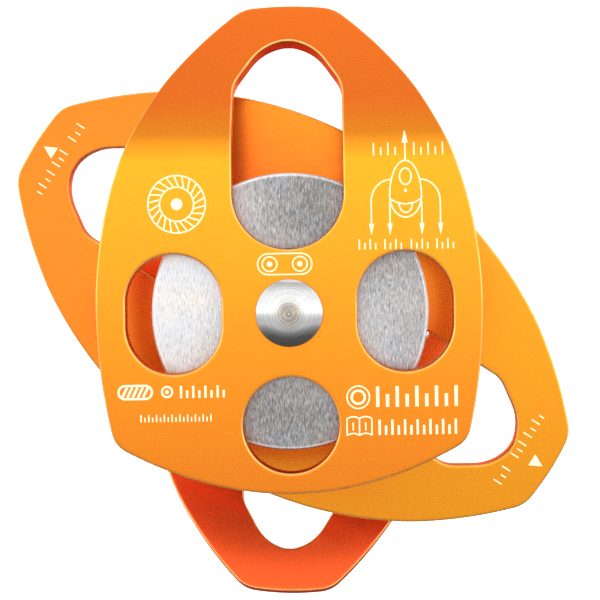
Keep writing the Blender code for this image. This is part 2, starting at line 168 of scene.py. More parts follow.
def eye():
    """The eye: half a circle at its foot, straight sides and a low arch."""
    foot = ring((0.0, EYE_FOOT), EYE_HALF_WIDTH, 180.0, 360.0)
    arch = [
        ((EYE_HALF_WIDTH, EYE_FOOT), 0.0, 0.0),
        ((EYE_HALF_WIDTH, EYE_SHOULDER), 2.6 * MM, 0.0),
        (EYE_CROWN, 5.6 * MM, 1.2 * MM),
        (flip(EYE_CROWN), 5.6 * MM, 0.0),
        (flip((EYE_HALF_WIDTH, EYE_SHOULDER)), 2.6 * MM, 0.0),
        ((-EYE_HALF_WIDTH, EYE_FOOT), 0.0, 0.0),
    ]
    return np.vstack([foot, line(arch, closed=False)[1:-1]])


def window(centre):
    """An oval window: two half circles joined by short straight sides."""
    half = 0.5 * WINDOW_STRAIGHT
    upper = ring((centre, half), WINDOW_RADIUS, 0.0, 180.0)
    lower = ring((centre, -half), WINDOW_RADIUS, 180.0, 360.0)
    sides = leg((centre - WINDOW_RADIUS, half), (centre - WINDOW_RADIUS, -half), 0.0, SPACING)
    return np.vstack([upper, sides[1:-1], lower, (2 * centre, 0.0) - sides[1:-1]])


def edge_section(thickness, edge_round):
    """Pairs (way into the metal, depth) round a plate's edge: a narrow flat rim,
    a quarter round, the wall, and the same again on the far face."""
    a = np.linspace(0.0, 0.5 * math.pi, 7)
    near = np.column_stack([1.0 - np.sin(a), 1.0 - np.cos(a)]) * edge_round
    near = np.vstack([[edge_round + 0.5 * MM, 0.0], near])
    return np.vstack([near, (near * (1.0, -1.0) + (0.0, thickness))[::-1]])


def quads_between(index, joined=False):
    """Quads between the rows of an array of point numbers, each row joined end
    to start, and the last row joined to the first if asked."""
    beside = np.roll(index, -1, axis=1)
    if joined:
        return np.stack([index, beside, np.roll(beside, -1, axis=0), np.roll(index, -1, axis=0)], axis=-1)
    return np.stack([index[:-1], beside[:-1], beside[1:], index[1:]], axis=-1)


def carried(loop, section, is_hole):
    """An edge section carried round a closed loop: each point moves into the
    metal along the loop's own normal by the section's first value, and its
    depth is the second. Returns points as (section, loop, 3) and quads."""
    ahead = np.roll(loop, -1, axis=0) - np.roll(loop, 1, axis=0)
    normal = np.column_stack([-ahead[:, 1], ahead[:, 0]]) / np.hypot(*ahead.T)[:, None]
    x, z = loop.T
    anticlockwise = np.sum(x * np.roll(z, -1) - np.roll(x, -1) * z) > 0.0
    inward = normal if anticlockwise != is_hole else -normal
    flat = loop[None] + inward[None] * section[:, 0, None, None]
    depth = np.broadcast_to(section[:, 1, None], flat.shape[:2])
    points = np.stack([flat[..., 0], depth, flat[..., 1]], axis=-1)
    index = np.arange(points.shape[0] * points.shape[1]).reshape(points.shape[:2])
    return points, quads_between(index)


def bent(points):
    """Points of the flat plate after the bend. Where a line of the bend starts
    at height z, its angle a has sin a = (z - start) / radius, up to the whole
    angle. There depth y becomes R (1 - cos a) + y cos a and the height becomes
    z - y sin a, and beyond it the plate runs straight on at that angle."""
    x, y, z = points.T
    end = BEND_START + BEND_RADIUS * math.sin(BEND_ANGLE)
    at = np.clip(z, BEND_START, end)
    a = np.arcsin((at - BEND_START) / BEND_RADIUS)
    beyond = np.maximum(z - end, 0.0)
    depth = BEND_RADIUS * (1.0 - np.cos(a)) + y * np.cos(a) + beyond * math.tan(BEND_ANGLE)
    height = np.minimum(z, BEND_START) + (at - BEND_START) - y * np.sin(a) + beyond
    return np.column_stack([x, depth, height])


def turned_about_axle(points, turn, depth, over=False):
    """Points of a plate as it is fitted: turned over end for end if asked, then
    turned anticlockwise about the axle as seen from the front."""
    x, y, z = (points * (-1.0, -1.0, 1.0) if over else points).T
    c = math.cos(turn)
    s = math.sin(turn)
    return np.column_stack([x * c - z * s, y + depth, x * s + z * c])


def coordinates(mesh):
    """A mesh's points as an array."""
    flat = np.empty(3 * len(mesh.vertices), np.float32)
    mesh.vertices.foreach_get("co", flat)
    return flat.reshape(-1, 3).astype(float)


def placed(name, data):
    """A new object with its data, put in the scene."""
    made = bpy.data.objects.new(name, data)
    bpy.context.collection.objects.link(made)
    return made


def side_painted_shade(flat):
    """How much painted shade there is over a side plate: most over the eye's end, which is bent back from
    the light, fading in from the bend, and growing again down towards the heel."""
    z = flat[:, 2]
    past_bend = np.clip((z - BEND_START) / EYE_SHADE_FADE, 0.0, 1.0)
    return np.maximum(past_bend, HEEL_SHADE * np.clip((HEEL_SHADE_TOP - z) / HEEL_SHADE_FADE, 0.0, 1.0))


def plate(name, outline, holes, fitted, bends, shade_share):
    """A plate: the edge section carried round every loop, the two faces filled between the loops, and cut
    across so that it can bend. The attribute wall is 0 on the faces and 1 on the walls, from the depth in
    the flat sheet, and the painted-shade attribute is how much painted shade there is."""
    section = edge_section(SHEET, EDGE_ROUND)
    parts = [carried(loop, section, i > 0) for i, loop in enumerate([outline] + holes)]
    starts = np.cumsum([0] + [part[0].size // 3 for part in parts])
    points = np.vstack([part[0].reshape(-1, 3) for part in parts])
    faces = np.vstack([part[1].reshape(-1, 4) + start for part, start in zip(parts, starts)])
    mesh = bpy.data.meshes.new(name)
    mesh.from_pydata(points.tolist(), [], faces.tolist())
    bm = bmesh.new()
    bm.from_mesh(mesh)
    open_edges = [edge for edge in bm.edges if edge.is_boundary]
    for far in (False, True):
        rim = [edge for edge in open_edges if (edge.verts[0].co.y > 0.5 * SHEET) == far]
        bmesh.ops.triangle_fill(bm, use_beauty=True, use_dissolve=False, edges=rim)
    if bends:
        for a in np.linspace(0.0, BEND_ANGLE, BEND_LINES + 1):
            height = BEND_START + BEND_RADIUS * math.sin(a)
            everything = list(bm.verts) + list(bm.edges) + list(bm.faces)
            bmesh.ops.bisect_plane(
                bm, geom=everything, dist=1e-7, plane_co=(0, 0, height), plane_no=(0, 0, 1)
            )
    bmesh.ops.triangulate(bm, faces=bm.faces)
    bmesh.ops.recalc_face_normals(bm, faces=bm.faces)
    bm.to_mesh(mesh)
    bm.free()
    flat = coordinates(mesh)
    depth = np.clip(np.minimum(flat[:, 1], SHEET - flat[:, 1]) / EDGE_ROUND, 0.0, 1.0)
    # The second attribute is the painted shade each point gets.
    for label, share in (("wall", depth), ("dye", shade_share(flat))):
        attribute = mesh.attributes.new(label, "FLOAT", "POINT")
        attribute.data.foreach_set("value", share.astype(np.float32))
    shaped = fitted(bent(flat) if bends else flat)
    mesh.vertices.foreach_set("co", shaped.astype(np.float32).ravel())
    mesh.update()
    mesh.shade_smooth()
    mesh.set_sharp_from_angle(angle=math.radians(40.0))
    return placed(name, mesh)


class Value:
    """A number that varies over a surface, which is a node's output. Sums and
    products of such values add the Math nodes that work them out."""

    def __init__(self, tree, socket):
        self.tree = tree
        self.socket = socket

    def maths(self, operation, first, second):
        """Add a Math node that works on two numbers or values."""
        node = self.tree.nodes.new("ShaderNodeMath")
        node.operation = operation
        for socket, value in zip(node.inputs, (first, second)):
            if isinstance(value, Value):
                self.tree.links.new(value.socket, socket)
            else:
                socket.default_value = value
        return Value(self.tree, node.outputs[0])

    def __add__(self, other):
        return self.maths("ADD", self, other)

    __radd__ = __add__

    def __sub__(self, other):
        return self.maths("SUBTRACT", self, other)

    def __rsub__(self, other):
        return self.maths("SUBTRACT", other, self)

    def __mul__(self, other):
        return self.maths("MULTIPLY", self, other)

    __rmul__ = __mul__

    def __pow__(self, other):
        return self.maths("POWER", self, other)

    def or_less(self, other):
        """The smaller of two values at each point."""
        return self.maths("MINIMUM", self, other)

    def angle_over(self, other):
        """The angle whose tangent is this value over another."""
        return self.maths("ARCTAN2", self, other)


class Nodes:
    """A node tree being made up, with one way to add any node to it."""

    def __init__(self, owner):
        owner.use_nodes = True
        self.tree = owner.node_tree

    def set(self, node, inputs):
        """Give a node's sockets values, or links from other nodes' outputs."""
        for key, value in inputs.items():
            if isinstance(value, Value):
                self.tree.links.new(value.socket, node.inputs[key])
            else:
                node.inputs[key].default_value = value

    def node(self, kind, settings, inputs, output=0):
        """Add a node of a kind, with its settings first and then its sockets."""
        made = self.tree.nodes.new("ShaderNode" + kind)
        for key, value in settings.items():
            if key == "stops":
                ramp = made.color_ramp
                while len(ramp.elements) < len(value):
                    ramp.elements.new(1.0)
                for element, (position, colour) in zip(ramp.elements, value):
                    element.position = position
                    element.color = colour
            else:
                setattr(made, key, value)
        self.set(made, inputs)
        return Value(self.tree, made.outputs[output])


class Finish(Nodes):
    """A finish being made up: a material, its Principled shader, and the places,
    noises, mixed colours and bumps that feed it."""

    def __init__(self, name, constants):
        self.material = bpy.data.materials.new(name)
        super().__init__(self.material)
        self.shader = self.tree.nodes["Principled BSDF"]
        self.set(self.shader, constants)

    def feed(self, **links):
        """Link the shader's sockets, named with _ for a space."""
        self.set(self.shader, {key.replace("_", " "): value for key, value in links.items()})

    def place(self):
        """Where a point is on the piece, in metres."""
        return self.node("TexCoord", {}, {}, "Object")

    def noise(self, size, detail=2.0, contrast=1.0):
        """A cloudy number between 0 and 1 whose spots are about size wide,
        spread about a half by the contrast."""
        settings = {"noise_dimensions": "3D"}
        inputs = {"Vector": self.place(), "Scale": 1.0 / size, "Detail": detail}
        cloud = self.node("TexNoise", settings, inputs, "Fac")
        return (cloud - 0.5) * contrast + 0.5

    def mixed(self, share, first, second):
        """One colour changing to another by a share."""
        inputs = {0: share, 6: first, 7: second}
        return self.node("Mix", {"data_type": "RGBA", "clamp_factor": True}, inputs, 2)

    def bumped(self, height, distance):
        """A normal that follows a height between 0 and 1, distance deep."""
        return self.node("Bump", {}, {"Height": height, "Distance": distance, "Strength": 1.0})


def anodised(name, face, shade_colour, walls, highlight_colour, sheen):
    """Dyed anodised aluminium. Fine grain from tumbling shows in the gloss, the dye clouds a little, a
    painted shade darkens it in places towards the shade colour, the walls turn a deeper red, and the brow
    of each rounded edge, where 12 w (1 - w)^4 is near one for the wall share w, takes a painted highlight
    in the highlight colour, broken up by a noise."""
    finish = Finish(name, {"Metallic": 0.8, "Specular Tint": sheen})
    wall = finish.node("Attribute", {"attribute_name": "wall"}, {}, "Fac")
    # Painted shade: the painted-shade attribute mixes the face colour towards the darker shade colour.
    shade_share = finish.node("Attribute", {"attribute_name": "dye"}, {}, "Fac")
    cloud = finish.noise(24.0 * MM, 3.0, 1.6)
    grain = finish.noise(0.35 * MM, 2.0, 1.4)
    # Painted highlight on the brow of each rounded edge, broken up by a noise.
    wear_and_highlight = wall * (1.0 - wall) ** 4.0 * 12.0 * (finish.noise(5.0 * MM, 3.0, 1.6) * 0.7 + 0.45)
    dye = finish.mixed(shade_share, face, shade_colour)
    shade = finish.mixed(cloud * 0.10 + grain * 0.10, dye, walls)
    walled = finish.mixed(wall**2.0, shade, walls)
    colour = finish.mixed(wear_and_highlight, walled, highlight_colour)
    rough = grain * 0.08 + finish.noise(3.0 * MM, 2.0) * 0.05 + 0.20
    scratches = finish.noise(0.18 * MM, 3.0)
    finish.feed(Base_Color=colour, Roughness=rough, Normal=finish.bumped(scratches, 0.003 * MM))
    return finish.material


side_outline = line(
    eye_end(SIDE_END_CORNER)
    + [
        (flip((HALF_WIDTH, WIDEST)), 0.0, flank(HEEL_CORNER)),
        (flip(HEEL_CORNER), 3.4 * MM, HEEL_DROP),
        (HEEL_CORNER, 3.4 * MM, flank(HEEL_CORNER)),
    ]
)
side_holes = [
    eye(),
    window(-WINDOW_OFFSET),
    window(WINDOW_OFFSET),
    ring((0.0, -HEEL_HOLE_DROP), WINDOW_RADIUS),
    ring((0.0, 0.0), AXLE_HOLE),
]


def in_front_place(points):
    """Points of the flat pattern where the front plate is fitted."""
    return turned_about_axle(points, FRONT_TURN, FRONT_FACE)


bright_orange = anodised(
    "bright_orange_anodised",
    face=(0.76, 0.335, 0.014, 1),
    shade_colour=(0.80, 0.165, 0.017, 1),
    walls=(0.76, 0.090, 0.030, 1),
    highlight_colour=(1.0, 0.60, 0.19, 1),
    sheen=(1.0, 0.42, 0.06, 1),
)
front_plate = plate(
    "front_plate_skin", side_outline, side_holes, in_front_place, bends=True, shade_share=side_painted_shade
)
front_plate.data.materials.append(bright_orange)
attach(front_plate, "front_plate")
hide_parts("front_side_plate")

# ---------------------------------------------------------------------------
# Middle plate
# A flat plate of the same sheet with an eye at each end, anodised with the others, its orange a little
# deeper, with painted shade that darkens it towards one end and most of all about the axle, where it lies
# behind the front plate. It swings freely on the axle between the two sheaves.

MIDDLE_END_CORNER = (11.9 * MM, 85.0 * MM)
MIDDLE_TURN = math.radians(57.3)
MIDDLE_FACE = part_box("middle_plate")[0].y
# Painted shade on the middle plate: how far its darkening reaches about the axle, how it fades, and its
# slope towards one end.
MIDDLE_SHADE_REACH = 54.0 * MM
MIDDLE_SHADE_FADE = 14.0 * MM
MIDDLE_SHADE_SLOPE = 4.6

middle_end = eye_end(MIDDLE_END_CORNER) + [(flip((HALF_WIDTH, WIDEST)), 0.0, 0.0)]
middle_outline = line(
    middle_end + [((-point[0], -point[1]), cut, rise) for point, cut, rise in middle_end]
)


def in_middle_place(points):
    """Points of the flat pattern where the middle plate is fitted."""
    return turned_about_axle(points, MIDDLE_TURN, MIDDLE_FACE)


def middle_painted_shade(flat):
    """More painted shade towards one end, and about the axle, from where it fades out over the shade fade
    length with the smooth step t^2 (3 - 2 t)."""
    away = np.hypot(flat[:, 0], flat[:, 2])
    t = np.clip((MIDDLE_SHADE_REACH - away) / MIDDLE_SHADE_FADE, 0.0, 1.0)
    return np.clip(0.30 + flat[:, 2] * MIDDLE_SHADE_SLOPE + 0.6 * t**2 * (3.0 - 2.0 * t), 0.0, 1.0)


middle_holes = [eye(), -eye(), ring((0.0, 0.0), AXLE_HOLE)]
middle_plate = plate(
    "middle_plate_skin", middle_outline, middle_holes, in_middle_place, bends=False, shade_share=middle_painted_shade
)
deeper_orange = anodised(
    "deeper_orange_anodised",
    face=(0.78, 0.310, 0.015, 1),
    shade_colour=(0.77, 0.128, 0.017, 1),
    walls=(0.76, 0.090, 0.030, 1),
    highlight_colour=(1.0, 0.60, 0.19, 1),
    sheen=(1.0, 0.42, 0.06, 1),
)
middle_plate.data.materials.append(deeper_orange)
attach(middle_plate, "middle_plate")
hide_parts("middle_plate")

# ---------------------------------------------------------------------------
# Rear side plate
# The same pressing as the front plate, turned over so that its bend leans towards the middle, and swung
# half round. Its orange is painted darker and redder than the front plate's, as painted shade for its place
# behind the other two.

REAR_TURN = math.radians(178.8)
REAR_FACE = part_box("rear_side_plate")[1].y


def in_rear_place(points):
    """Points of the flat pattern where the rear plate is fitted."""
    return turned_about_axle(points, REAR_TURN, REAR_FACE, over=True)


# Painted shade: a darker, redder copy of the plates' orange for the rear plate.
shaded_red_orange = anodised(
    "shaded_red_orange_anodised",
    face=(0.95, 0.165, 0.025, 1),
    shade_colour=(0.90, 0.115, 0.025, 1),
    walls=(0.74, 0.065, 0.030, 1),
    highlight_colour=(1.0, 0.50, 0.16, 1),
    sheen=(1.0, 0.40, 0.06, 1),
)
rear_plate = plate(
    "rear_plate_skin", side_outline, side_holes, in_rear_place, bends=True, shade_share=side_painted_shade
)
rear_plate.data.materials.append(shaded_red_orange)
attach(rear_plate, "rear_plate")
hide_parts("rear_side_plate")

# ---------------------------------------------------------------------------
# Axle
# A headed pin of stainless steel, turned and polished: a domed head with the
# tool's fine rings in front, and a blind tapped hole for the screw behind.

AXLE_RADIUS = 7.4 * MM
HEAD_RADIUS = 8.7 * MM
HEAD_RIM = 0.9 * MM
HEAD_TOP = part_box("axle_pin")[0].y
AXLE_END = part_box("axle_pin")[1].y
GAP = 0.3 * MM
HEAD_SEAT = FRONT_FACE - GAP
HOLE_RADIUS = 4.3 * MM
HOLE_FLOOR = AXLE_END - 14.0 * MM


def surface(name, points, quads, triangles=(), sharp=35.0):
    """A closed piece from points and faces. If the faces enclose a volume below
    zero, the sum of a . (b x c) / 6 over their triangles, all are turned round."""
    quads = np.array(quads).reshape(-1, 4)
    corners = [quads[:, [0, 1, 2]], quads[:, [0, 2, 3]], np.array(triangles, int).reshape(-1, 3)]
    a, b, c = (points[np.vstack(corners)[:, k]] for k in range(3))
    inside_out = np.sum(a * np.cross(b, c)) < 0.0
    faces = quads.tolist() + corners[2].tolist()
    mesh = bpy.data.meshes.new(name)
    mesh.from_pydata(points.tolist(), [], [face[::-1] for face in faces] if inside_out else faces)
    mesh.shade_smooth()
    mesh.set_sharp_from_angle(angle=math.radians(sharp))
    return placed(name, mesh)


def poled(name, r, y, start, end):
    """A lathe surface from rows of radii r, one for each angle, each row at its
    own y, closed in a point on the axis at y = start and at y = end."""
    count = r.shape[1]
    a = 2.0 * math.pi * np.arange(count) / count
    points = np.stack([r * np.cos(a), y[:, None] + 0.0 * a, r * np.sin(a)], axis=-1).reshape(-1, 3)
    index = np.arange(len(points)).reshape(-1, count)
    first = np.full(count, len(points))
    fans = [
        np.column_stack([first, np.roll(index[0], -1), index[0]]),
        np.column_stack([first + 1, index[-1], np.roll(index[-1], -1)]),
    ]
    poles = [[0.0, start, 0.0], [0.0, end, 0.0]]
    return surface(name, np.vstack([points, poles]), quads_between(index), np.vstack(fans))


def lathed(name, profile, count=160):
    """A lathe surface: a point (r, y) of the profile turned by an angle a lies
    at (r cos a, y, r sin a). A profile that starts and ends on the axis closes
    there in a point, and any other is joined end to start."""
    profile = np.array(profile)
    r, y = profile.T
    if r[0] < 0.01 * MM:
        return poled(name, np.repeat(r[1:-1, None], count, axis=1), y[1:-1], y[0], y[-1])
    a = 2.0 * math.pi * np.arange(count) / count
    points = np.stack([r[:, None] * np.cos(a), y[:, None] + 0.0 * a, r[:, None] * np.sin(a)], axis=-1)
    index = np.arange(len(profile) * count).reshape(-1, count)
    return surface(name, points.reshape(-1, 3), quads_between(index, joined=True))


def dome(height):
    """Pairs (r, y) over a domed head from its seat to its middle: a short rim, a
    rounded shoulder and then a cap that falls by 0.35 t^2 + 0.65 t^4 of its
    height at a share t of the radius, with turning rings that fade outwards. y
    is the way out from the seat."""
    r = np.linspace(1.0, 0.0, 110)[1:] * (HEAD_RADIUS - 0.25 * MM)
    t = r / HEAD_RADIUS
    y = height - (height - HEAD_RIM) * (0.35 * t**2 + 0.65 * t**4)
    rings = 0.010 * MM * np.cos(2.0 * math.pi * r / (0.62 * MM)) * np.exp(-r / (2.2 * MM))
    shoulder = HEAD_RIM + 0.25 * MM * np.sin(np.linspace(-0.5 * math.pi, 0.5 * math.pi, 6)) - 0.1 * MM
    rim = HEAD_RADIUS - 0.25 * MM * (1.0 - np.cos(np.linspace(-0.5 * math.pi, 0.5 * math.pi, 6)))
    foot = [[HEAD_RADIUS - 0.15 * MM, 0.0], [HEAD_RADIUS, 0.15 * MM]]
    return np.vstack([foot, np.column_stack([rim, shoulder])[2:5], np.column_stack([r, y + rings])])


def polished(name, ring_size, roughness):
    """Polished steel turned on a lathe: rings about the axle, as a noise along
    the radius plus a slow spiral, a few rubbed patches, and about the middle a
    darker spot where the tool has dwelt and the rings are deepest."""
    finish = Finish(name, {"Metallic": 1.0})
    place = finish.place()
    x = finish.node("SeparateXYZ", {}, {"Vector": place}, "X")
    z = finish.node("SeparateXYZ", {}, {"Vector": place}, "Z")
    radius = (x * x + z * z) ** 0.5
    spiral = radius * (1.0 / ring_size) + z.angle_over(x) * (0.5 / math.pi)
    along = {"noise_dimensions": "1D"}
    rings = finish.node("TexNoise", along, {"W": spiral, "Scale": 1.0, "Detail": 3.0}, "Fac")
    wear_and_highlight = finish.noise(1.6 * MM, 3.0, 1.5)
    smooth = {"interpolation_type": "SMOOTHSTEP"}
    dwelt = finish.node("MapRange", smooth, {0: radius, 1: 4.8 * MM, 2: 1.3 * MM, 3: 0.08, 4: 1.0})
    turned = (rings - 0.5) * 2.6 + wear_and_highlight * 0.4 + 0.3
    bright = finish.mixed(turned, (0.45, 0.48, 0.50, 1), (0.76, 0.745, 0.72, 1))
    dark = finish.mixed((rings - 0.5) * 6.0 + 0.3, (0.13, 0.10, 0.075, 1), (0.72, 0.65, 0.58, 1))
    finish.feed(
        Base_Color=finish.mixed(dwelt, bright, dark),
        Roughness=rings * 0.05 + wear_and_highlight * 0.05 + roughness,
        Normal=finish.bumped(rings * (dwelt + 0.06), 0.045 * MM),
    )
    return finish.material


head = dome(HEAD_SEAT - HEAD_TOP) * (1.0, -1.0) + (0.0, HEAD_SEAT)
shank = line(
    [
        ((0.0, HOLE_FLOOR), 0.0, 0.0),
        ((HOLE_RADIUS, HOLE_FLOOR), 0.3 * MM, 0.0),
        ((HOLE_RADIUS, AXLE_END), 0.3 * MM, 0.0),
        ((AXLE_RADIUS, AXLE_END), 0.5 * MM, 0.0),
        ((AXLE_RADIUS, HEAD_SEAT), 0.0, 0.0),
    ],
    closed=False,
)
turned_steel = polished("turned_steel", 0.16 * MM, 0.10)
axle = lathed("axle_turned", np.vstack([shank, head]))
axle.data.materials.append(turned_steel)
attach(axle, "axle")
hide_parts("axle_pin")

# ---------------------------------------------------------------------------
# Axle screw
# A domed screw of the same steel that closes the axle from behind, with a
# hexagon socket pressed into its head.

SCREW_RADIUS = 4.0 * MM
SCREW_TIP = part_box("axle_screw")[0].y
SCREW_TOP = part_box("axle_screw")[1].y
SCREW_SEAT = REAR_FACE + GAP
SOCKET_RADIUS = 3.45 * MM
SOCKET_FLOOR = SCREW_SEAT - 1.8 * MM


def socketed_screw(name, count=144):
    """A lathe surface from the tip over the thread and the dome to the socket's
    lip, then rows whose radius is that of a hexagon, R cos 30 / cos(a mod 60 -
    30), down its walls to a point in the middle of its floor."""
    thread = 0.18 * MM
    pitch = np.arange(SCREW_TIP + 1.2 * MM, SCREW_SEAT - 0.8 * MM, 0.3 * MM)
    ridges = SCREW_RADIUS - thread * (1.0 - np.cos(2.0 * math.pi * np.arange(len(pitch)) / 4.0)) * 0.5
    shaft = np.vstack([[[SCREW_RADIUS - 0.7 * MM, SCREW_TIP]], np.column_stack([ridges, pitch])])
    shaft = np.vstack([shaft, [[SCREW_RADIUS - 0.2 * MM, SCREW_SEAT]]])
    cap = dome(SCREW_TOP - SCREW_SEAT) + (0.0, SCREW_SEAT)
    cap = cap[cap[:, 0] > SOCKET_RADIUS + 0.1 * MM]
    a = 2.0 * math.pi * np.arange(count) / count
    hexagon = SOCKET_RADIUS * math.cos(math.pi / 6) / np.cos(a % (math.pi / 3) - math.pi / 6)
    round_rows = np.vstack([shaft, cap])
    lip = cap[-1, 1] + 0.03 * MM
    walls = np.array([[1.04, lip], [1.0, lip - 0.15 * MM], [1.0, lip - 1.2 * MM], [1.0, SOCKET_FLOOR]])
    r = np.vstack([round_rows[:, :1] + 0.0 * a, walls[:, :1] * hexagon, 0.5 * hexagon])
    y = np.concatenate([round_rows[:, 1], walls[:, 1], [SOCKET_FLOOR - 0.4 * MM]])
    return poled(name, r, y, SCREW_TIP, SOCKET_FLOOR - 0.8 * MM)


screw = socketed_screw("axle_screw_turned")
screw.data.materials.append(turned_steel)
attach(screw, "axle")
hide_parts("axle_screw")

# ---------------------------------------------------------------------------
# Spacers
# Four flanged bushes of zinc-plated steel on the axle. Each hub bears on a
# bearing's inner race, and each flange keeps a plate off the sheave's face.

BORE = 7.7 * MM
FLANGE_RADIUS = 16.0 * MM
HUB_RADIUS = 9.8 * MM
FLANGE = 0.8 * MM


def plated(name, tint, roughness):
    """Zinc-plated steel: a soft grey with the plating's faint clouds."""
    finish = Finish(name, {"Metallic": 1.0})
    cloud = finish.noise(2.5 * MM, 4.0, 1.6)
    grain = finish.noise(0.25 * MM, 2.0, 1.5)
    colour = finish.mixed(cloud * 0.6 + grain * 0.2, tint, (0.66, 0.67, 0.70, 1))
    finish.feed(
        Base_Color=colour, Roughness=grain * 0.14 + roughness, Normal=finish.bumped(grain, 0.006 * MM)
    )
    return finish.material


zinc = plated("zinc_plate", (0.50, 0.51, 0.55, 1), 0.26)
for spacer_name, outer_is_low in (
    ("spacer_front_outer", True),
    ("spacer_front_inner", False),
    ("spacer_rear_inner", True),
    ("spacer_rear_outer", False),
):
    low, high = (corner.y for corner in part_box(spacer_name))
    seat, reach, way = (low, high, 1.0) if outer_is_low else (high, low, -1.0)
    bush = line(
        [
            ((BORE, seat), 0.2 * MM, 0.0),
            ((FLANGE_RADIUS, seat), 0.15 * MM, 0.0),
            ((FLANGE_RADIUS, seat + way * FLANGE), 0.15 * MM, 0.0),
            ((HUB_RADIUS, seat + way * FLANGE), 0.2 * MM, 0.0),
            ((HUB_RADIUS, reach), 0.2 * MM, 0.0),
            ((BORE, reach), 0.2 * MM, 0.0),
        ],
        spacing=0.5 * MM,
    )
    spacer = lathed(spacer_name + "_turned", bush, 128)
    spacer.data.materials.append(zinc)
    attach(spacer, "axle")
    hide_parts(spacer_name)

# ---------------------------------------------------------------------------
# Bearings
# One sealed ball bearing in each sheave: two ground steel races with a track
# for the balls, a moulded cage, and a thin pressed shield on each side.

BEARING_WIDTH = 9.0 * MM
BEARING_RADIUS = 16.0 * MM
INNER_RACE = 10.0 * MM
OUTER_RACE = 13.5 * MM
BALL_RADIUS = 2.38 * MM
BALL_CIRCLE = 11.75 * MM
BALL_COUNT = 9
TRACK = BALL_RADIUS + GAP


def race(bore, outside, track_side):
    """A race's section: a rectangle whose side at track_side is cut by the
    circle of the balls' track."""
    half = 0.5 * BEARING_WIDTH
    reach = math.degrees(math.acos(abs(track_side - BALL_CIRCLE) / TRACK))
    middle = 0.0 if track_side > BALL_CIRCLE else 180.0
    track = ring((BALL_CIRCLE, 0.0), TRACK, middle - reach, middle + reach, 0.3 * MM)
    sense = 1.0 if track_side > BALL_CIRCLE else -1.0
    other = outside if track_side > BALL_CIRCLE else bore
    rest = line(
        [
            (tuple(track[-1]), 0.0, 0.0),
            ((track_side, sense * half), 0.25 * MM, 0.0),
            ((other, sense * half), 0.25 * MM, 0.0),
            ((other, -sense * half), 0.25 * MM, 0.0),
            ((track_side, -sense * half), 0.25 * MM, 0.0),
            (tuple(track[0]), 0.0, 0.0),
        ],
        closed=False,
        spacing=0.5 * MM,
    )
    return np.vstack([track, rest[1:-1]])


def ball(name, centre):
    """A sphere: at latitude b and longitude a, (cos b cos a, sin b, cos b sin a)
    times the radius, closed at both poles."""
    b = np.linspace(-0.5 * math.pi, 0.5 * math.pi, 17)
    made = lathed(name, np.column_stack([np.cos(b), np.sin(b)]) * BALL_RADIUS, 32)
    points = coordinates(made.data) + centre
    made.data.vertices.foreach_set("co", points.astype(np.float32).ravel())
    return made


ground_steel = polished("ground_steel", 0.10 * MM, 0.16)


def moulded(name, colour, lighter):
    """Moulded nylon: dull, with a faint sheen and a fine texture."""
    finish = Finish(name, {"Metallic": 0.0})
    cloud = finish.noise(1.5 * MM, 3.0, 1.4)
    grain = finish.noise(0.12 * MM, 2.0, 1.5)
    finish.feed(
        Base_Color=finish.mixed(cloud, colour, lighter),
        Roughness=grain * 0.2 + 0.4,
        Normal=finish.bumped(grain, 0.01 * MM),
    )
    return finish.material


nylon = moulded("brown_nylon", (0.10, 0.055, 0.025, 1), (0.17, 0.10, 0.05, 1))
shield_steel = plated("shield_steel", (0.20, 0.205, 0.22, 1), 0.34)
for label in ("front", "rear"):
    low, high = (corner.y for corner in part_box(label + "_sheave"))
    centre = 0.5 * (low + high)
    ball_body = label + "_ball_set"
    for part, section, body in (
        ("inner_race", race(BORE, INNER_RACE, INNER_RACE), "axle"),
        ("outer_race", race(OUTER_RACE, BEARING_RADIUS, OUTER_RACE), label + "_sheave"),
    ):
        made = lathed(label + "_" + part + "_ground", section + (0.0, centre), 128)
        made.data.materials.append(ground_steel)
        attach(made, body)
        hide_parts(label + "_" + part)
    for side in ("outer", "inner"):
        near, far = (corner.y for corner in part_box(f"{label}_shield_{side}"))
        washer = line(
            [
                ((INNER_RACE + GAP, near), 0.1 * MM, 0.0),
                ((OUTER_RACE - GAP, near), 0.1 * MM, 0.0),
                ((OUTER_RACE - GAP, far), 0.1 * MM, 0.0),
                ((INNER_RACE + GAP, far), 0.1 * MM, 0.0),
            ],
            spacing=0.3 * MM,
        )
        shield = lathed(f"{label}_shield_{side}_pressed", washer, 128)
        shield.data.materials.append(shield_steel)
        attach(shield, label + "_sheave")
        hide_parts(f"{label}_shield_{side}")
    for number in range(1, BALL_COUNT + 1):
        node = f"{label}_ball_{number}"
        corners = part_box(node)
        middle = np.array(corners[0] + corners[1]) * 0.5
        made = ball(node + "_lapped", middle)
        made.data.materials.append(ground_steel)
        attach(made, ball_body)
        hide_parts(node)
    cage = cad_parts[label + "_cage"]
    cage.material_slots[0].material = nylon

# ---------------------------------------------------------------------------
# Sheaves and their snap rings
# Two rope wheels of plain aluminium, turned and then tumbled, so their faces
# are dull and speckled. A lip and a snap ring of spring steel hold the bearing.

SHEAVE_RADIUS = 36.4 * MM
GROOVE_RADIUS = 8.1 * MM
GROOVE_CENTRE = 34.3 * MM
SEAT_RADIUS = 16.3 * MM
SEAT_LIP = 14.5 * MM
SNAP_GROOVE = 17.2 * MM
SNAP_WIDTH = 1.6 * MM
# Painted light on the sheave faces: a slope that makes one side lighter, two highlight fans, and a
# highlight on the rims.
PAINTED_LIGHT_SLOPE = 8.0
FAN_HIGHLIGHT = 0.25
FAN_HIGHLIGHT_TURN = math.radians(25.0)
RIM_HIGHLIGHT_RADIUS = 35.4 * MM


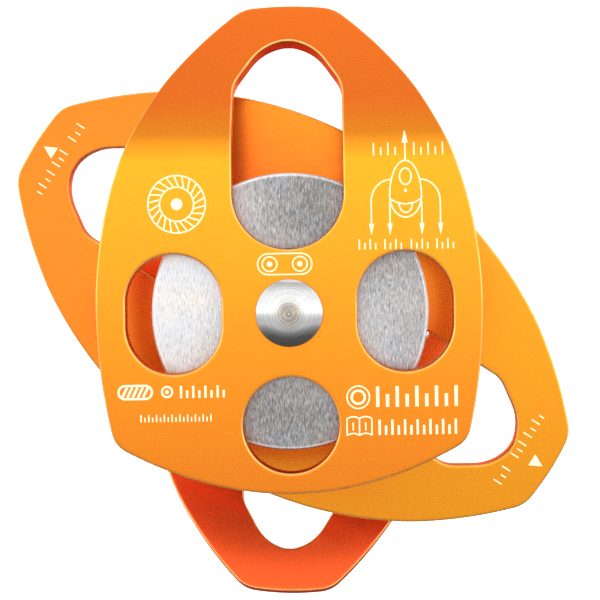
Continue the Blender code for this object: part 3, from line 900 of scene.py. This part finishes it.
def wheel_section(width):
    """Half section of a sheave: rounded rims, the rope groove as an arc, and
    the bearing's seat with its lip towards +Y and its ring groove towards -Y."""
    half = 0.5 * width
    seat = 0.5 * BEARING_WIDTH + GAP
    groove = ring((GROOVE_CENTRE, 0.0), GROOVE_RADIUS, 90.0, 270.0, 0.6 * MM)
    far = -seat - SNAP_WIDTH + GAP
    near = GAP - seat
    lip = line(
        [
            (tuple(groove[-1]), 0.0, 0.0),
            ((SHEAVE_RADIUS, groove[-1][1]), 0.25 * MM, 0.0),
            ((SHEAVE_RADIUS, -half), 0.55 * MM, 0.0),
            ((SEAT_RADIUS, -half), 0.3 * MM, 0.0),
            ((SEAT_RADIUS, far), 0.1 * MM, 0.0),
            ((SNAP_GROOVE, far), 0.1 * MM, 0.0),
            ((SNAP_GROOVE, near), 0.1 * MM, 0.0),
            ((SEAT_RADIUS, near), 0.1 * MM, 0.0),
            ((SEAT_RADIUS, seat), 0.1 * MM, 0.0),
            ((SEAT_LIP, seat), 0.1 * MM, 0.0),
            ((SEAT_LIP, half), 0.3 * MM, 0.0),
            ((SHEAVE_RADIUS, half), 0.55 * MM, 0.0),
            ((SHEAVE_RADIUS, groove[0][1]), 0.25 * MM, 0.0),
            (tuple(groove[0]), 0.0, 0.0),
        ],
        closed=False,
        spacing=0.7 * MM,
    )
    return np.vstack([groove, lip[1:-1]])


def tumbled():
    """Tumbled bare aluminium: short scratches every way, fine speckle, and broad clouds, warm grey against
    cool. The turning marks below them are shown by a painted highlight in two fans, the cosine of twice the
    angle round the axle, and one side is painted lighter than the other, as if lit from it. The wheel's
    rims, past a set radius, carry a painted highlight."""
    finish = Finish("tumbled_aluminium", {"Metallic": 1.0})
    place = finish.place()
    x = finish.node("SeparateXYZ", {}, {"Vector": place}, "X")
    z = finish.node("SeparateXYZ", {}, {"Vector": place}, "Z")
    scratches = []
    for turn, wide in ((0.5, 1.0), (-0.9, 0.9), (2.0, 1.2)):
        stretch = (3200.0 / wide, 900.0, 600.0 / wide)
        inputs = {"Vector": place, "Rotation": (0.0, turn, 0.0), "Scale": stretch}
        lengthened = finish.node("Mapping", {"vector_type": "POINT"}, inputs)
        inputs = {"Vector": lengthened, "Scale": 1.0, "Detail": 2.0}
        scratches.append(finish.node("TexNoise", {}, inputs, "Fac"))
    scratched = scratches[0].or_less(scratches[1]).or_less(scratches[2])
    fine = finish.noise(0.3 * MM, 2.0, 2.4)
    patch = finish.noise(11.0 * MM, 4.0, 2.0)
    square = x * x + z * z
    # Painted highlight: two bright fans and two dark ones, by the angle round the axle.
    lobes = (x * x - z * z) * math.cos(FAN_HIGHLIGHT_TURN) - x * z * (2.0 * math.sin(FAN_HIGHLIGHT_TURN))
    fan_highlight = lobes * (square**-1.0)
    # Painted highlight on the wheel's rim, past a set radius.
    rim = finish.node(
        "MapRange", {}, {0: square**0.5, 1: RIM_HIGHLIGHT_RADIUS, 2: RIM_HIGHLIGHT_RADIUS + 0.3 * MM, 3: 0.0, 4: 0.5}
    )
    worn = (scratched - 0.38) * 2.2 + fine * 0.16 + patch * 0.22
    # Painted light: the side towards -X is lighter and the side towards +X darker.
    share = worn + fan_highlight * FAN_HIGHLIGHT - x * PAINTED_LIGHT_SLOPE + rim + 0.15
    tint = finish.mixed(finish.noise(7.0 * MM, 3.0, 2.6), (0.80, 0.775, 0.745, 1), (0.735, 0.755, 0.785, 1))
    # The dark end of the mix, reached where scratches are few and where the painted shade of the fans and
    # the slope falls.
    dull_and_shaded = finish.mixed(finish.noise(9.0 * MM, 3.0, 2.4), (0.20, 0.18, 0.16, 1), (0.155, 0.16, 0.17, 1))
    finish.feed(
        Base_Color=finish.mixed(share, dull_and_shaded, tint),
        Roughness=scratched * 0.3 + patch * 0.08 + 0.28,
        Normal=finish.bumped(scratched * 1.6 + fine * 0.3, 0.016 * MM),
    )
    return finish.material


tumbled_aluminium = tumbled()
spring_steel = plated("spring_steel", (0.13, 0.13, 0.14, 1), 0.32)
for label, way in (("front", 1.0), ("rear", -1.0)):
    low, high = (corner.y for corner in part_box(label + "_sheave"))
    section = wheel_section(high - low) * (1.0, way) + (0.0, 0.5 * (low + high))
    sheave = lathed(label + "_sheave_turned", section, 192)
    sheave.data.materials.append(tumbled_aluminium)
    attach(sheave, label + "_sheave")
    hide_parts(label + "_sheave")
    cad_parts[label + "_snap_ring"].material_slots[0].material = spring_steel

# ---------------------------------------------------------------------------
# Laser marks
# Pale marks burnt into the dye of the front and the middle plate, all of them
# plain pictures: a ring of rope, two wheels, the loads on a pulley, a rope, two
# small rings, an open book, arrows, and rows of ticks where figures would be.

LIFT = 0.03 * MM
PEN = 0.35 * MM


def stroke(path, width=PEN, closed=False):
    """A thin flat band, given as points and quads: a rectangle as wide as width,
    one number or one for each point, and two lifts thick, carried along a path.
    It is joined end to start, or closed by a rectangle at each end."""
    path = np.array(path, float)
    if closed:
        ahead = np.roll(path, -1, axis=0) - np.roll(path, 1, axis=0)
    else:
        ahead = np.gradient(path, axis=0)
    normal = np.column_stack([-ahead[:, 1], ahead[:, 0]]) / np.hypot(*ahead.T)[:, None]
    half = 0.5 * np.broadcast_to(width, len(path))[:, None] * normal
    corners = []
    for side, depth in ((half, -LIFT), (half, LIFT), (-half, LIFT), (-half, -LIFT)):
        at = path + side
        corners.append(np.column_stack([at[:, 0], np.full(len(at), depth), at[:, 1]]))
    points = np.stack(corners, axis=1)
    index = np.arange(4 * len(path)).reshape(-1, 4)
    quads = quads_between(index, joined=closed).reshape(-1, 4)
    if not closed:
        quads = np.vstack([quads, index[0, ::-1], index[-1]])
    return points.reshape(-1, 3), quads


def oval(centre, across, up, start=0.0, end=360.0):
    """Points on an oval: the centre plus (across cos a, up sin a)."""
    return np.array(centre) + ring((0.0, 0.0), 1.0, start, end, 0.13) * (across, up)


def straight(start, end, width=PEN):
    """A straight stroke, with a point every millimetre so that it can bend."""
    return stroke(leg(start, end, 0.0, 1.0 * MM), width)


def tapered(start, end, width):
    """A solid arrow head: a stroke that narrows from its width to a point."""
    path = leg(start, end, 0.0, 0.5 * MM)
    return stroke(path, np.linspace(width, 0.03 * MM, len(path)))


def disc(centre, radius):
    """A solid dot: a stroke across it whose half width is the chord's,
    sqrt(radius^2 - t^2)."""
    t = np.linspace(-0.995, 0.995, 15) * radius
    path = np.column_stack([centre[0] + t, np.full(len(t), centre[1])])
    return stroke(path, 2.0 * np.sqrt(radius**2 - t**2))


def ticks(start, end, height, count, width=PEN):
    """A row of upright ticks from start to end, every second one shorter."""
    start, end = np.array(start), np.array(end)
    along = (end - start) / np.hypot(*(end - start))
    up = np.array([-along[1], along[0]])
    row = []
    for i in range(count):
        foot = start + (end - start) * i / max(count - 1, 1)
        row.append(straight(foot, foot + up * height * (1.0 if i % 2 == 0 else 0.62), width))
    return row


def capsule(centre, half, radius, spacing=SPACING):
    """Two half circles, their centres half to the right and left of a centre."""
    right = ring((centre[0] + half, centre[1]), radius, -90.0, 90.0, spacing)
    left = ring((centre[0] - half, centre[1]), radius, 90.0, 270.0, spacing)
    return np.vstack([right, left])


def rope_ring(centre, inner, outer, strands):
    """Two circles with slanting strands between them, as on a spliced ring."""
    made = [stroke(ring(centre, radius), 0.36 * MM, closed=True) for radius in (inner, outer)]
    for i in range(strands):
        a = 2.0 * math.pi * i / strands
        b = a + 1.6 * math.pi / strands
        foot = (centre[0] + inner * math.cos(a), centre[1] + inner * math.sin(a))
        tip = (centre[0] + outer * math.cos(b), centre[1] + outer * math.sin(b))
        made.append(straight(foot, tip, 0.36 * MM))
    return made


def load_picture(x, z):
    """A pulley hung from an arrow with two rope lines on each side, each with
    an arrow head down and a short row of ticks under it."""
    half = 4.1 * MM
    crown = oval((x, z - 3.4 * MM), half, 9.0 * MM, 0.0, 180.0)
    shell = np.vstack([crown, oval((x, z - 3.4 * MM), half, 5.6 * MM, 180.0, 360.0)[1:-1]])
    made = [
        straight((x, z + 5.8 * MM), (x, z + 11.0 * MM)),
        tapered((x, z + 10.2 * MM), (x, z + 13.6 * MM), 1.6 * MM),
        stroke(shell, closed=True),
        stroke(oval((x, z + 1.5 * MM), 1.5 * MM, 2.1 * MM), closed=True),
        disc((x, z - 2.1 * MM), 0.4 * MM),
        stroke(leg((x - half, z - 4.2 * MM), (x + half, z - 4.2 * MM), 1.4 * MM, 0.6 * MM)),
        stroke(oval((x, z - 5.5 * MM), 1.7 * MM, 2.3 * MM, 180.0, 360.0)),
    ]
    top = z - 5.0 * MM
    for side in (-1.0, 1.0):
        made.append(stroke(oval((x + side * 3.9 * MM, top), side * 5.0 * MM, 5.7 * MM, 90.0, 0.0)))
        for foot in (x + side * half, x + side * 8.9 * MM):
            made.append(straight((foot, top), (foot, z - 11.0 * MM)))
            made.append(tapered((foot, z - 10.6 * MM), (foot, z - 13.6 * MM), 1.3 * MM))
        for centre in (3.4 * MM, 10.0 * MM):
            foot = np.array([x + side * centre, z - 17.2 * MM])
            made += ticks(foot - (2.1 * MM, 0.0), foot + (2.1 * MM, 0.0), 2.6 * MM, 4)
    return made


def book(x, z):
    """An open book seen from above: two leaves that bow up from the spine."""
    wide, tall = 3.2 * MM, 4.3 * MM
    made = [straight((x, z), (x, z + tall))]
    for side in (-1.0, 1.0):
        far = x + side * wide
        for height in (0.0, tall):
            made.append(stroke(leg((x, z + height), (far, z + height), -side * 0.5 * MM, 0.5 * MM)))
        made.append(straight((far, z), (far, z + tall)))
        made.append(straight((x + side * 1.6 * MM, z + 1.2 * MM), (x + side * 1.6 * MM, z + 3.3 * MM)))
    return made


def rope_picture(x, z):
    """A short length of laid rope: a capsule with slanting strands."""
    made = [stroke(capsule((x, z), 2.6 * MM, 1.7 * MM, 0.3 * MM), 0.55 * MM, closed=True)]
    for i in range(5):
        foot = x + (i - 2.5) * 1.35 * MM
        made.append(straight((foot, z - 1.3 * MM), (foot + 1.3 * MM, z + 1.3 * MM), 0.62 * MM))
    return made


def marks(name, strokes, fitted, bends):
    """One piece from all the strokes on a plate's outer face. They stand out by
    six slightly different lifts, so that none lies level with one it crosses."""
    starts = np.cumsum([0] + [len(points) for points, _ in strokes])
    lifts = 1.0 + 0.12 * (np.arange(len(strokes)) % 6)
    points = np.vstack([points * (1.0, lift, 1.0) for (points, _), lift in zip(strokes, lifts)])
    quads = np.vstack([quads + start for (_, quads), start in zip(strokes, starts)])
    return surface(name, fitted(bent(points) if bends else points), quads, sharp=30.0)


def burnt_dye():
    """Dye bleached by a laser: dull off-white with a trace of orange left in."""
    finish = Finish("laser_mark", {"Metallic": 0.0, "Specular IOR Level": 0.3})
    left = finish.noise(0.35 * MM, 3.0, 2.2) * 0.30
    colour = finish.mixed(left, (0.93, 0.83, 0.58, 1), (0.95, 0.60, 0.18, 1))
    grain = finish.noise(0.12 * MM, 2.0)
    finish.feed(Base_Color=colour, Roughness=grain * 0.2 + 0.5, Normal=finish.bumped(grain, 0.004 * MM))
    return finish.material


TWO_WHEELS = (-1.0 * MM, 12.6 * MM)
WHEEL = (17.4 * MM, -22.0 * MM)
ROPE_END = (-31.8 * MM, -19.9 * MM)
SPLICED_RING = (-28.6 * MM, 28.4 * MM)

wheels = [stroke(capsule(TWO_WHEELS, 4.3 * MM, 2.7 * MM), closed=True)]
for side in (-1.0, 1.0):
    hub = (TWO_WHEELS[0] + side * 3.9 * MM, TWO_WHEELS[1])
    wheels += [stroke(ring(hub, 1.9 * MM), closed=True), disc(hub, 0.7 * MM)]

wheel_mark = [
    stroke(ring(WHEEL, 2.9 * MM), closed=True),
    stroke(ring(WHEEL, 1.7 * MM), 0.6 * MM, closed=True),
]
rope_end = [
    stroke(ring(ROPE_END, 1.35 * MM), 0.5 * MM, closed=True),
    disc(ROPE_END, 0.5 * MM),
]
front_strokes = (
    rope_ring(SPLICED_RING, 4.4 * MM, 7.4 * MM, 22)
    + [disc(SPLICED_RING, 1.5 * MM)]
    + wheels
    + load_picture(30.4 * MM, 33.2 * MM)
    + ticks((22.3 * MM, 40.2 * MM), (27.9 * MM, 40.2 * MM), 3.3 * MM, 4)
    + ticks((32.7 * MM, 40.2 * MM), (40.1 * MM, 40.2 * MM), 3.3 * MM, 5)
    + rope_picture(-40.0 * MM, -19.9 * MM)
    + rope_end
    + ticks((-28.2 * MM, -21.5 * MM), (-17.2 * MM, -21.5 * MM), 3.1 * MM, 8, 0.55 * MM)
    + ticks((-38.6 * MM, -27.6 * MM), (-20.6 * MM, -27.6 * MM), 1.9 * MM, 19, 0.32 * MM)
    + wheel_mark
    + ticks((22.4 * MM, -24.6 * MM), (42.6 * MM, -24.6 * MM), 5.3 * MM, 9, 0.85 * MM)
    + book(17.6 * MM, -31.8 * MM)
    + ticks((22.8 * MM, -31.8 * MM), (42.4 * MM, -31.8 * MM), 3.9 * MM, 13, 0.6 * MM)
)
laser_mark = burnt_dye()
front_marks = marks("front_plate_marks", front_strokes, in_front_place, bends=True)
front_marks.data.materials.append(laser_mark)
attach(front_marks, "front_plate")

MIDDLE_MARK_ROW = 76.3 * MM
middle_strokes = []
for end in (1.0, -1.0):
    at = MIDDLE_MARK_ROW * end
    middle_strokes.append(tapered((0.0, at + 3.4 * MM * end), (0.0, at + 6.9 * MM * end), 3.6 * MM))
    for far, near, count in ((11.6, 5.2, 4), (2.4, -1.6, 3), (-6.0, -10.4, 3)):
        middle_strokes += ticks((-near * MM * end, at), (-far * MM * end, at), -2.7 * MM * end, count)
middle_marks = marks("middle_plate_marks", middle_strokes, in_middle_place, bends=False)
middle_marks.data.materials.append(laser_mark)
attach(middle_marks, "middle_plate")

# ---------------------------------------------------------------------------
# Studio
# A pale floor that runs up into a pale wall, a lamp overhead, a soft grey sky
# that is brightest at eye level and in front and dark below, and the camera.

FLOOR_HEIGHT = -0.55
WALL_DEPTH = 0.85
COVE_RADIUS = 0.3


def cove(name):
    """Floor and wall in one sheet: a profile of floor, quarter circle and wall
    carried from left to right."""
    a = np.linspace(-0.5 * math.pi, 0.0, 24)
    y = np.concatenate([[-12.0], WALL_DEPTH - COVE_RADIUS + COVE_RADIUS * np.cos(a), [WALL_DEPTH]])
    z = np.concatenate([[0.0], COVE_RADIUS * (1.0 + np.sin(a)), [6.0]]) + FLOOR_HEIGHT
    x = np.linspace(-12.0, 12.0, 9)
    grid = np.stack(np.broadcast_arrays(x, y[:, None], z[:, None]), axis=-1)
    index = np.arange(grid.size // 3).reshape(grid.shape[:2])
    quads = np.stack([index[:-1, :-1], index[:-1, 1:], index[1:, 1:], index[1:, :-1]], axis=-1)
    mesh = bpy.data.meshes.new(name)
    mesh.from_pydata(grid.reshape(-1, 3).tolist(), [], quads.reshape(-1, 4).tolist())
    mesh.shade_smooth()
    return placed(name, mesh)


paper = Finish("pale_paper", {"Roughness": 0.9, "Specular IOR Level": 0.1, "Emission Strength": 0.55})
paper_tone = paper.mixed(paper.noise(0.2, 2.0), (0.90, 0.90, 0.90, 1), (0.93, 0.93, 0.93, 1))
paper.feed(Base_Color=paper_tone, Emission_Color=paper_tone)
stage = cove("pale_floor_and_wall")
stage.data.materials.append(paper.material)
stage.visible_glossy = False

lamp = bpy.data.lights.new("overhead_light", "AREA")
lamp.shape = "DISK"
lamp.size = 1.2
lamp.energy = 2.5
overhead = placed("overhead_light", lamp)
overhead.location = (0.0, 0.0, 1.4)

SKY_STRENGTH = 2.4
SKY_TONES = (
    (-90, 0.04), (-45, 0.06), (-30, 0.16), (-20, 0.38), (-14, 0.34), (-11, 0.40),
    (-7, 0.48), (-3.5, 0.62), (-1, 0.90), (4, 0.95), (8, 0.72), (20, 0.66),
    (36, 0.60), (52, 0.40), (68, 0.31), (90, 0.20),
)

studio = bpy.data.worlds.new("studio")
bpy.context.scene.world = studio
sky = Nodes(studio)
way = sky.node("TexCoord", {}, {}, "Generated")
up = sky.node("SeparateXYZ", {}, {"Vector": way}, "Z")
away = sky.node("SeparateXYZ", {}, {"Vector": way}, "Y")
stops = [(0.5 + 0.5 * math.sin(math.radians(a)), (tone, tone, tone, 1)) for a, tone in SKY_TONES]
tones = sky.node("ValToRGB", {"stops": stops}, {0: up * 0.5 + 0.5}, "Color")
front_share = sky.node(
    "MapRange", {"interpolation_type": "SMOOTHSTEP"}, {0: away, 1: 0.8, 2: -0.4, 3: 0.7, 4: 1.0}
)
sky.set(studio.node_tree.nodes["Background"], {"Color": tones, "Strength": front_share * SKY_STRENGTH})

CAMERA_RIGHT = 11.7 * MM
CAMERA_ABOVE = 19.6 * MM
CAMERA_AWAY = 282.0 * MM

camera_data = bpy.data.cameras.new("camera")
camera_data.lens = 65.72
camera_data.sensor_width = 36.0
camera_data.shift_x = -0.058
camera_data.shift_y = -0.1055
camera = placed("camera", camera_data)
camera.location = (CAMERA_RIGHT, FRONT_FACE - CAMERA_AWAY, CAMERA_ABOVE)
camera.rotation_euler = (0.5 * math.pi, 0.0, 0.0)
bpy.context.scene.camera = camera
bpy.context.scene.view_settings.view_transform = "Standard"
